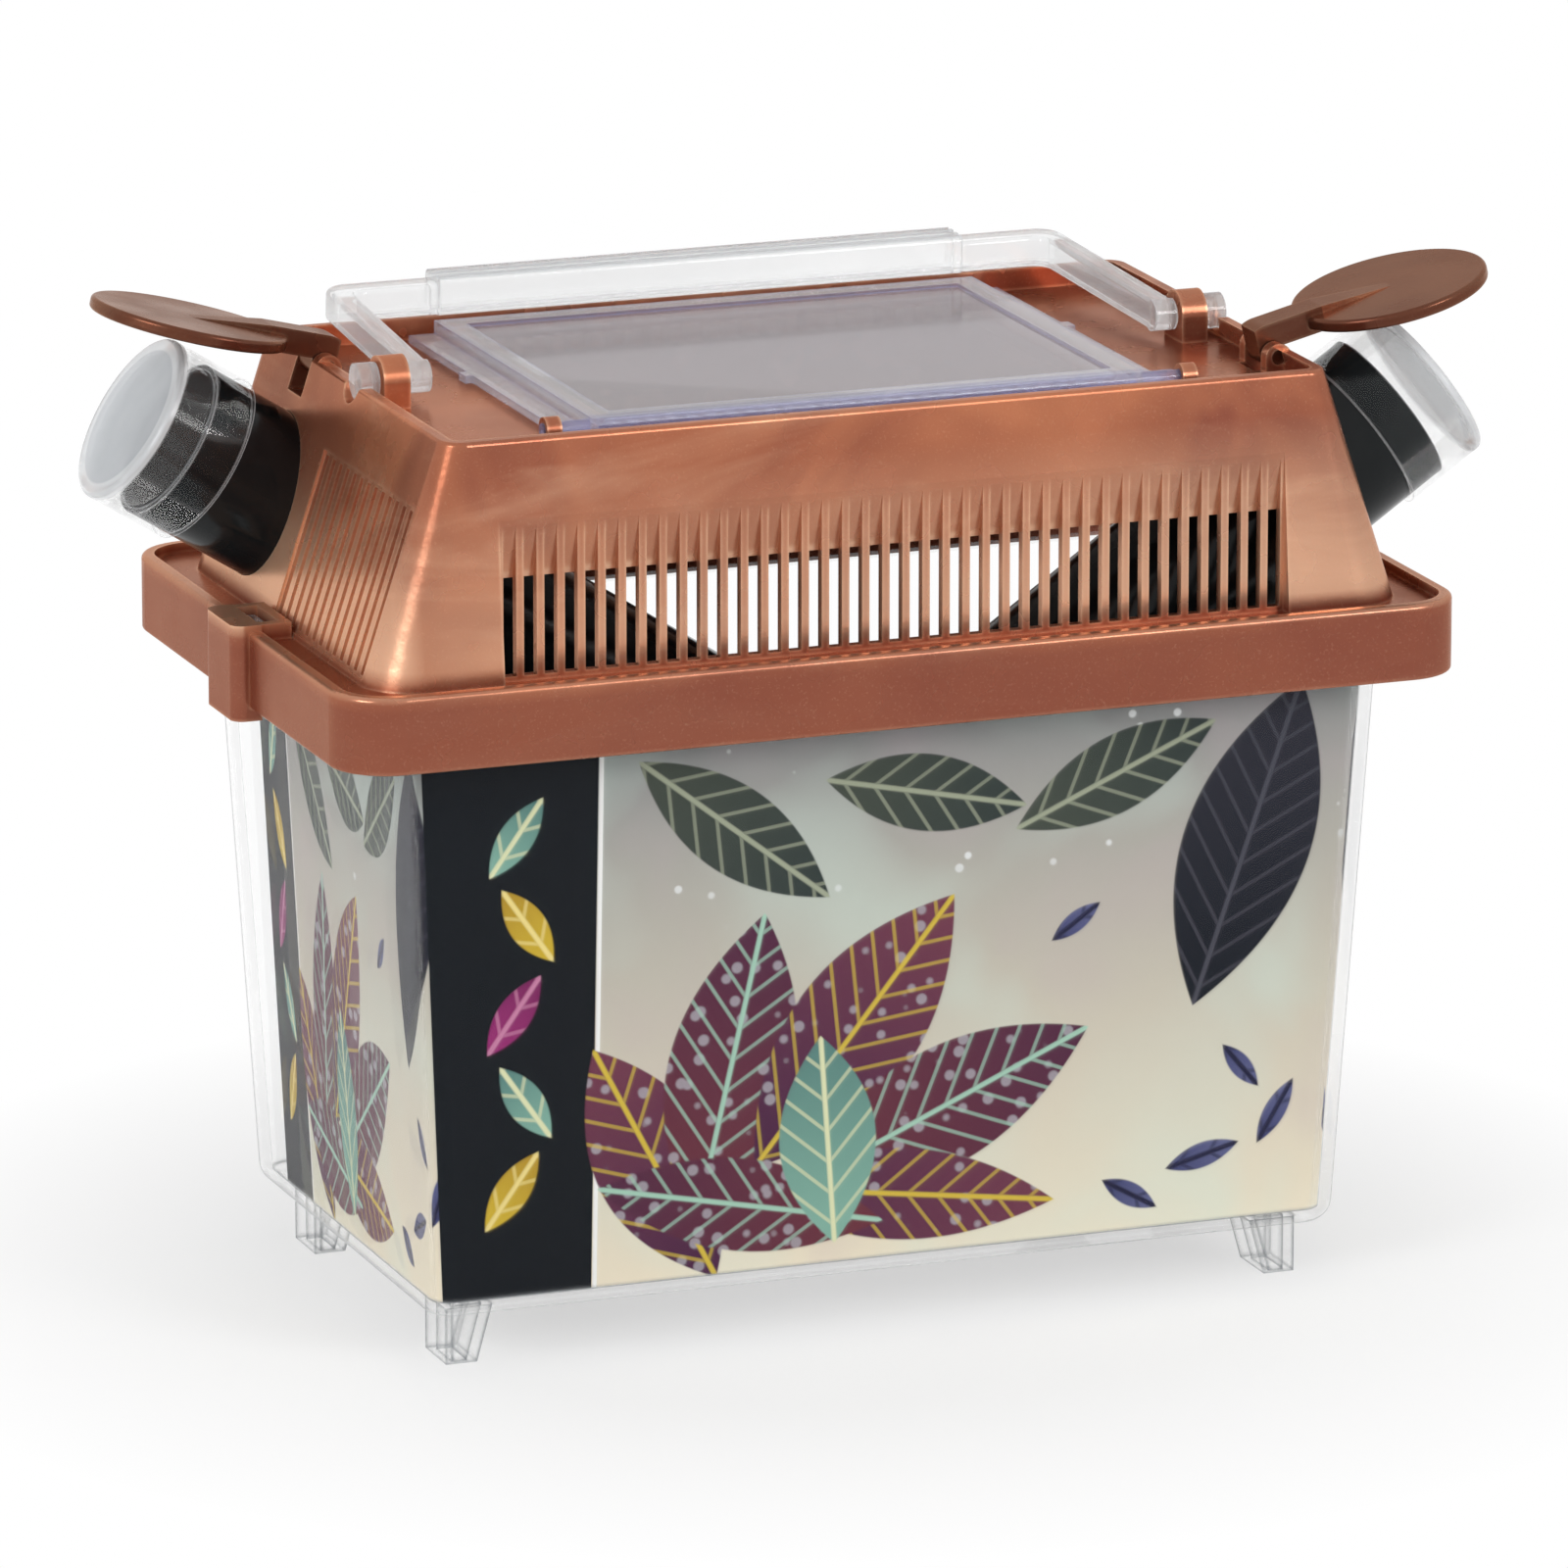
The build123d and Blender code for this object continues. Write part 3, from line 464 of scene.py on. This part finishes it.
def black_finish(name):
    """Glossy black extruded tube with fine rub marks along its length."""
    material, tree, shader, place = start_material(name)
    tone = colours().tube
    smudge = spread(tree, noise(tree, place, TUBE_SMUDGES, 4.0, 0.6), 0.45, 0.75, 0.0, 0.5)
    put(tree, blend_colours(tree, smudge, tone, [c + 0.012 for c in tone]), shader.inputs["Base Color"])
    rough = surface().tube_roughness
    put(tree, spread(tree, noise(tree, place, TUBE_RUBS, 5.0, 0.65), 0.35, 0.75, rough, rough + 0.12),
        shader.inputs["Roughness"])
    shader.inputs["Specular IOR Level"].default_value = 0.18
    put(tree, bumped(tree, noise(tree, place, TUBE_SKIN, 2.0), TUBE_RIPPLE), shader.inputs["Normal"])
    return material


# ---- Printed card ---------------------------------------------------------------
def leaf_group():
    """Node group: a pointed leaf by its centre, angle and half sizes, in millimetres."""
    group = bpy.data.node_groups.new("printed leaf", "ShaderNodeTree")
    face = group.interface
    for label in ("U", "V", "Centre U", "Centre V", "Angle", "Half length", "Half width"):
        face.new_socket(name=label, in_out="INPUT", socket_type="NodeSocketFloat")
    for label in ("Inside", "Vein", "Along"):
        face.new_socket(name=label, in_out="OUTPUT", socket_type="NodeSocketFloat")
    source = group.nodes.new("NodeGroupInput").outputs
    sink = group.nodes.new("NodeGroupOutput").inputs
    du = calc(group, "SUBTRACT", source["U"], source["Centre U"])
    dv = calc(group, "SUBTRACT", source["V"], source["Centre V"])
    cosine = calc(group, "COSINE", source["Angle"])
    sine = calc(group, "SINE", source["Angle"])
    along = calc(group, "ADD", calc(group, "MULTIPLY", du, cosine), calc(group, "MULTIPLY", dv, sine))
    across = calc(group, "SUBTRACT", calc(group, "MULTIPLY", dv, cosine),
                  calc(group, "MULTIPLY", du, sine))
    across = calc(group, "ABSOLUTE", across)
    ratio = calc(group, "DIVIDE", along, source["Half length"])
    belly = calc(group, "SUBTRACT", 1.0, calc(group, "MULTIPLY", ratio, ratio))
    room = calc(group, "SUBTRACT", calc(group, "MULTIPLY", belly, source["Half width"]), across)
    inside = spread(group, room, 0.0, 0.3)
    rib = spread(group, across, 0.55, 0.25)
    wave = calc(group, "SINE", calc(group, "MULTIPLY", calc(group, "SUBTRACT", along, across), 1.25))
    vein = calc(group, "MAXIMUM", rib, spread(group, wave, 0.80, 0.95, 0.0, 0.6))
    for value, label in ((inside, "Inside"), (vein, "Vein"), (ratio, "Along")):
        put(group, value, sink[label])
    return group


# Centre, angle in degrees, half length and half width in millimetres, then the tone.
LEAVES = (
    (58.0, 72.0, 72, 27.0, 11.0, "dusk"), (36.0, 85.0, 24, 18.0, 6.4, "olive"),
    (-38.0, 30.0, 118, 22.0, 9.5, "plum"), (-26.0, 44.0, 78, 25.0, 10.5, "wine"),
    (-6.0, 48.0, 52, 26.0, 11.0, "plum"), (8.0, 34.0, 24, 27.0, 10.0, "wine"),
    (2.0, 21.0, -8, 26.0, 7.5, "plum"), (-24.0, 22.0, 168, 24.0, 7.5, "wine"),
    (-10.0, 31.0, 95, 17.0, 8.0, "mint"), (-26.0, 82.0, -38, 20.0, 6.8, "olive"),
    (5.0, 85.0, -12, 17.0, 6.2, "olive"), (52.0, 22.0, 15, 6.5, 2.2, "slate"),
    (40.0, 17.0, -30, 5.5, 2.0, "slate"), (64.0, 28.0, 60, 6.0, 2.0, "slate"),
    (58.0, 36.0, -50, 5.0, 1.8, "slate"), (30.0, 62.0, 35, 5.0, 1.8, "slate"),
    (-61.0, 28.0, 55, 7.5, 3.0, "mustard"), (-59.0, 42.0, 125, 7.5, 3.0, "mint"),
    (-61.0, 56.0, 55, 7.5, 3.0, "magenta"), (-59.0, 70.0, 125, 7.5, 3.0, "mustard"),
    (-61.0, 84.0, 55, 7.5, 3.0, "mint"),
)
TONES = {  # leaf, its shade towards the tip, its veins
    "plum": ((0.075, 0.022, 0.060), (0.16, 0.045, 0.075), (0.62, 0.46, 0.06)),
    "wine": ((0.145, 0.035, 0.050), (0.085, 0.024, 0.055), (0.36, 0.58, 0.46)),
    "mint": ((0.22, 0.42, 0.34), (0.10, 0.22, 0.20), (0.70, 0.72, 0.45)),
    "olive": ((0.060, 0.072, 0.058), (0.034, 0.046, 0.044), (0.34, 0.37, 0.27)),
    "dusk": ((0.010, 0.012, 0.018), (0.030, 0.030, 0.042), (0.070, 0.070, 0.090)),
    "slate": ((0.055, 0.060, 0.16), (0.12, 0.13, 0.26), (0.02, 0.02, 0.05)),
    "mustard": ((0.60, 0.42, 0.04), (0.42, 0.26, 0.03), (0.80, 0.66, 0.25)),
    "magenta": ((0.30, 0.03, 0.16), (0.18, 0.02, 0.10), (0.55, 0.22, 0.36)),
}
BAND_EDGE = -48.0        # the dark band's right edge, millimetres along the card
BAND_LINE = 0.35         # half the pale line beside it
PRINT_REACH = 72.0       # half the length of the print, on the front and squeezed onto each side
SEED_RISE = (66.0, 76.0) # millimetres up the card, between which the pale dots set in


def card_place(tree, place):
    """Millimetres along the card and up it, and 1 on its printed face."""
    x, y, z = (calc(tree, "MULTIPLY", output, MILLIMETRES) for output in axes(tree, place))
    facing = axes(tree, tree.nodes.new("ShaderNodeNewGeometry").outputs["True Normal"])
    on_side = calc(tree, "GREATER_THAN", calc(tree, "ABSOLUTE", facing[0]), 0.7)
    side_run = spread(tree, y, CARD_HIGH.y, CARD_LOW.y, -PRINT_REACH, PRINT_REACH)
    run = tree.nodes.new("ShaderNodeMix")
    put(tree, on_side, run.inputs[0])
    put(tree, x, run.inputs[2])
    put(tree, side_run, run.inputs[3])
    outward = calc(tree, "ADD", calc(tree, "MULTIPLY", x, facing[0]),
                   calc(tree, "MULTIPLY", y, facing[1]))
    return run.outputs[0], z, calc(tree, "GREATER_THAN", outward, 0.0)


def card_finish():
    """Printed card: fading ground, dark band and a spray of plain leaves."""
    material, tree, shader, place = start_material("printed card")
    tones = colours()
    u, v, printed = card_place(tree, place)
    height = spread(tree, v, CARD_LOW.z, CARD_HIGH.z)
    ground = blend_colours(tree, height, tones.card_foot, tones.card_top)
    cloud = noise(tree, place, CARD_CLOUDS, 2.0, 0.5, 0.6)
    ground = blend_colours(tree, spread(tree, cloud, 0.50, 0.72, 0.0, 0.35), ground, (0.62, 0.78, 0.70))
    ground = blend_colours(tree, spread(tree, cloud, 0.48, 0.28, 0.0, 0.30), ground, (0.50, 0.38, 0.42))
    in_band = calc(tree, "LESS_THAN", u, BAND_EDGE)
    ground = blend_colours(tree, in_band, ground, tones.card_dark)
    off_line = calc(tree, "ABSOLUTE", calc(tree, "SUBTRACT", u, BAND_EDGE + 0.5))
    line = calc(tree, "LESS_THAN", off_line, BAND_LINE)
    ground = blend_colours(tree, line, ground, (0.85, 0.85, 0.83))
    dots = spread(tree, cells(tree, place, CARD_SPOTS), 0.32, 0.22)
    seeds = spread(tree, cells(tree, place, CARD_SEEDS), 0.15, 0.10)
    sown = calc(tree, "MULTIPLY", seeds, spread(tree, v, *SEED_RISE))
    sown = calc(tree, "MULTIPLY", sown, calc(tree, "GREATER_THAN", u, BAND_EDGE + 6.0))
    ground = blend_colours(tree, sown, ground, (0.80, 0.82, 0.82))
    leaf = leaf_group()
    for centre_u, centre_v, angle, half_length, half_width, tone in LEAVES:
        node = tree.nodes.new("ShaderNodeGroup")
        node.node_tree = leaf
        shape = u, v, centre_u, centre_v, math.radians(angle), half_length, half_width
        for value, socket in zip(shape, node.inputs):
            put(tree, value, socket)
        body, tip, vein = TONES[tone]
        shade = blend_colours(tree, spread(tree, node.outputs["Along"], -0.8, 0.9), body, tip)
        if tone in ("plum", "wine"):
            shade = blend_colours(tree, calc(tree, "MULTIPLY", dots, 0.7), shade, (0.42, 0.40, 0.44))
        shade = blend_colours(tree, node.outputs["Vein"], shade, vein)
        ground = blend_colours(tree, node.outputs["Inside"], ground, shade)
    fibre = noise(tree, place, CARD_FIBRE, 3.0)
    plain = blend_colours(tree, spread(tree, fibre, 0.3, 0.7), (0.62, 0.61, 0.58), (0.72, 0.71, 0.68))
    put(tree, blend_colours(tree, printed, plain, ground), shader.inputs["Base Color"])
    put(tree, spread(tree, fibre, 0.3, 0.7, 0.30, 0.42), shader.inputs["Roughness"])
    shader.inputs["Specular IOR Level"].default_value = 0.03
    put(tree, bumped(tree, fibre, CARD_RELIEF), shader.inputs["Normal"])
    return material


# ---- Pieces ---------------------------------------------------------------------
class KEEPER_OT_tank(bpy.types.Operator):
    """Finish the clear tank"""
    bl_idname = "keeper.tank"
    bl_label = "Clear tank"

    def execute(self, context):
        # The tank's edges and edge-on walls take painted shade in grey.
        material, *_ = clear_finish(
            "clear tank plastic", colours().tank, surface().tank_body, colours().tank_edge_shade,
            edge_body=0.95, edge_width=TANK_EDGE, edge_haze=0.85)
        finish_node("tank", material)
        return {"FINISHED"}


class KEEPER_OT_card(bpy.types.Operator):
    """Print the card inside the tank"""
    bl_idname = "keeper.card"
    bl_label = "Printed card"

    def execute(self, context):
        finish_node("insert_card", card_finish())
        return {"FINISHED"}


class KEEPER_OT_lid(bpy.types.Operator):
    """Finish the copper coloured lid"""
    bl_idname = "keeper.lid"
    bl_label = "Lid"

    def execute(self, context):
        finish_node("lid", copper_finish("copper lid plastic", pearl_flow_and_highlight=True))
        return {"FINISHED"}


class KEEPER_OT_flaps(bpy.types.Operator):
    """Finish the round flaps over the ports"""
    bl_idname = "keeper.flaps"
    bl_label = "Port flaps"

    def execute(self, context):
        material = copper_finish("copper flap plastic", 0.36)
        for end in ("left", "right"):
            finish_node(end + "_port_flap", material)
        return {"FINISHED"}


class KEEPER_OT_hatch(bpy.types.Operator):
    """Finish the clear hatch"""
    bl_idname = "keeper.hatch"
    bl_label = "Hatch"

    def execute(self, context):
        finish_node("hatch", hatch_finish())
        return {"FINISHED"}


class KEEPER_OT_handle(bpy.types.Operator):
    """Finish the clear carrying handle"""
    bl_idname = "keeper.handle"
    bl_label = "Handle"

    def execute(self, context):
        # The handle's edges take painted shade in soft grey.
        material, *_ = clear_finish(
            "clear handle plastic", colours().handle, surface().handle_body, colours().handle_edge_shade,
            softness=0.05, haze=0.25, edge_haze=0.4)
        finish_node("handle", material)
        return {"FINISHED"}


class KEEPER_OT_tubes(bpy.types.Operator):
    """Finish the black dispensing tubes"""
    bl_idname = "keeper.tubes"
    bl_label = "Tubes"

    def execute(self, context):
        material = black_finish("black tube plastic")
        for end in ("left", "right"):
            finish_node(end + "_tube", material)
        return {"FINISHED"}


class KEEPER_OT_caps(bpy.types.Operator):
    """Finish the clear tube caps"""
    bl_idname = "keeper.caps"
    bl_label = "Tube caps"

    def execute(self, context):
        for end in ("left", "right"):
            finish_node(end + "_tube_cap", cap_finish(end))
        return {"FINISHED"}


# ---- Stage ----------------------------------------------------------------------
def seen_by_eye(tree):
    """1 for camera, mirrored and refracted rays."""
    rays = tree.nodes.new("ShaderNodeLightPath").outputs
    mirrored = calc(tree, "MAXIMUM", rays["Is Glossy Ray"], rays["Is Transmission Ray"])
    return calc(tree, "MAXIMUM", rays["Is Camera Ray"], mirrored)


def make_floor():
    """Pale floor that keeps the object's shadow."""
    half = FLOOR_HALF
    corners = [(-half, -half, 0), (half, -half, 0), (half, half, 0), (-half, half, 0)]
    mesh = bpy.data.meshes.new("floor")
    mesh.from_pydata(corners, [], [(0, 1, 2, 3)])
    floor = bpy.data.objects.new("floor", mesh)
    bpy.context.scene.collection.objects.link(floor)
    material = bpy.data.materials.new("floor")
    material.use_nodes = True
    tree = material.node_tree
    tree.nodes.clear()
    matt = tree.nodes.new("ShaderNodeBsdfDiffuse")
    matt.inputs["Color"].default_value = rgba(colours().floor)
    glow = tree.nodes.new("ShaderNodeEmission")
    mix = tree.nodes.new("ShaderNodeMixShader")
    reach = vector_calc(tree, "LENGTH", tree.nodes.new("ShaderNodeTexCoord").outputs["Object"])
    share_of_white = spread(tree, reach, *FLOOR_FADE, bpy.context.scene.keeper_stage.floor_glow, 1.0)
    put(tree, calc(tree, "MULTIPLY", seen_by_eye(tree), share_of_white), mix.inputs[0])
    tree.links.new(matt.outputs[0], mix.inputs[1])
    tree.links.new(glow.outputs[0], mix.inputs[2])
    output = tree.nodes.new("ShaderNodeOutputMaterial")
    tree.links.new(mix.outputs[0], output.inputs["Surface"])
    mesh.materials.append(material)


def make_world():
    """White surroundings."""
    world = bpy.data.worlds.new("studio")
    bpy.context.scene.world = world
    world.use_nodes = True
    tree = world.node_tree
    back = next(node for node in tree.nodes if node.type == "BACKGROUND")
    back.inputs["Color"].default_value = (1.0, 1.0, 1.0, 1.0)
    ambient = bpy.context.scene.keeper_stage.ambient
    put(tree, spread(tree, seen_by_eye(tree), 0.0, 1.0, ambient, 1.0), back.inputs["Strength"])


def make_lamp(name, place, size, power):
    """Soft square lamp that faces the object."""
    lamp = bpy.data.lights.new(name, "AREA")
    lamp.shape = "SQUARE"
    lamp.size = size
    lamp.energy = power
    item = bpy.data.objects.new(name, lamp)
    bpy.context.scene.collection.objects.link(item)
    item.location = place
    aim = Vector(bpy.context.scene.keeper_stage.target) - Vector(place)
    item.rotation_euler = aim.to_track_quat("-Z", "Y").to_euler()


def make_camera():
    """Camera at the photograph's view."""
    stage = bpy.context.scene.keeper_stage
    data = bpy.data.cameras.new("camera")
    data.sensor_width = 36.0
    data.lens = stage.lens
    data.clip_end = 20.0
    item = bpy.data.objects.new("camera", data)
    bpy.context.scene.collection.objects.link(item)
    eye = Vector(stage.camera)
    ahead = (Vector(stage.target) - eye).normalized()
    right = ahead.cross(Vector((0, 0, 1))).normalized()
    turn = Matrix((right, right.cross(ahead), -ahead)).transposed()
    item.matrix_world = Matrix.Translation(eye) @ turn.to_4x4()
    bpy.context.scene.camera = item


class KEEPER_OT_stage(bpy.types.Operator):
    """Add the floor, the light and the camera"""
    bl_idname = "keeper.stage"
    bl_label = "Stage"

    def execute(self, context):
        stage = context.scene.keeper_stage
        make_floor()
        make_world()
        make_lamp("key lamp", *KEY_LAMP, stage.key)
        make_lamp("fill lamp", *FILL_LAMP, stage.fill)
        make_camera()
        context.scene.view_settings.view_transform = "Standard"
        return {"FINISHED"}


OPERATORS = (KEEPER_OT_tank, KEEPER_OT_card, KEEPER_OT_lid, KEEPER_OT_flaps, KEEPER_OT_hatch,
             KEEPER_OT_handle, KEEPER_OT_tubes, KEEPER_OT_caps, KEEPER_OT_stage)


class KEEPER_PT_panel(bpy.types.Panel):
    """Finishes of the keeper"""
    bl_idname = "KEEPER_PT_panel"
    bl_label = "Keeper"
    bl_space_type = "VIEW_3D"
    bl_region_type = "UI"
    bl_category = "Keeper"

    def draw(self, context):
        for name, group in SETTINGS.items():
            box = self.layout.box()
            for entry in group.__annotations__:
                box.prop(getattr(context.scene, name), entry)
        for operator in OPERATORS:
            self.layout.operator(operator.bl_idname)


def register():
    for group in (*SETTINGS.values(), *OPERATORS, KEEPER_PT_panel):
        bpy.utils.register_class(group)
    for name, group in SETTINGS.items():
        setattr(bpy.types.Scene, name, PointerProperty(type=group))


def unregister():
    for name in SETTINGS:
        delattr(bpy.types.Scene, name)
    for group in reversed((*SETTINGS.values(), *OPERATORS, KEEPER_PT_panel)):
        bpy.utils.unregister_class(group)


def main():
    register()
    for operator in OPERATORS:
        getattr(bpy.ops.keeper, operator.bl_idname.split(".")[1])()


if __name__ == "__main__":
    main()
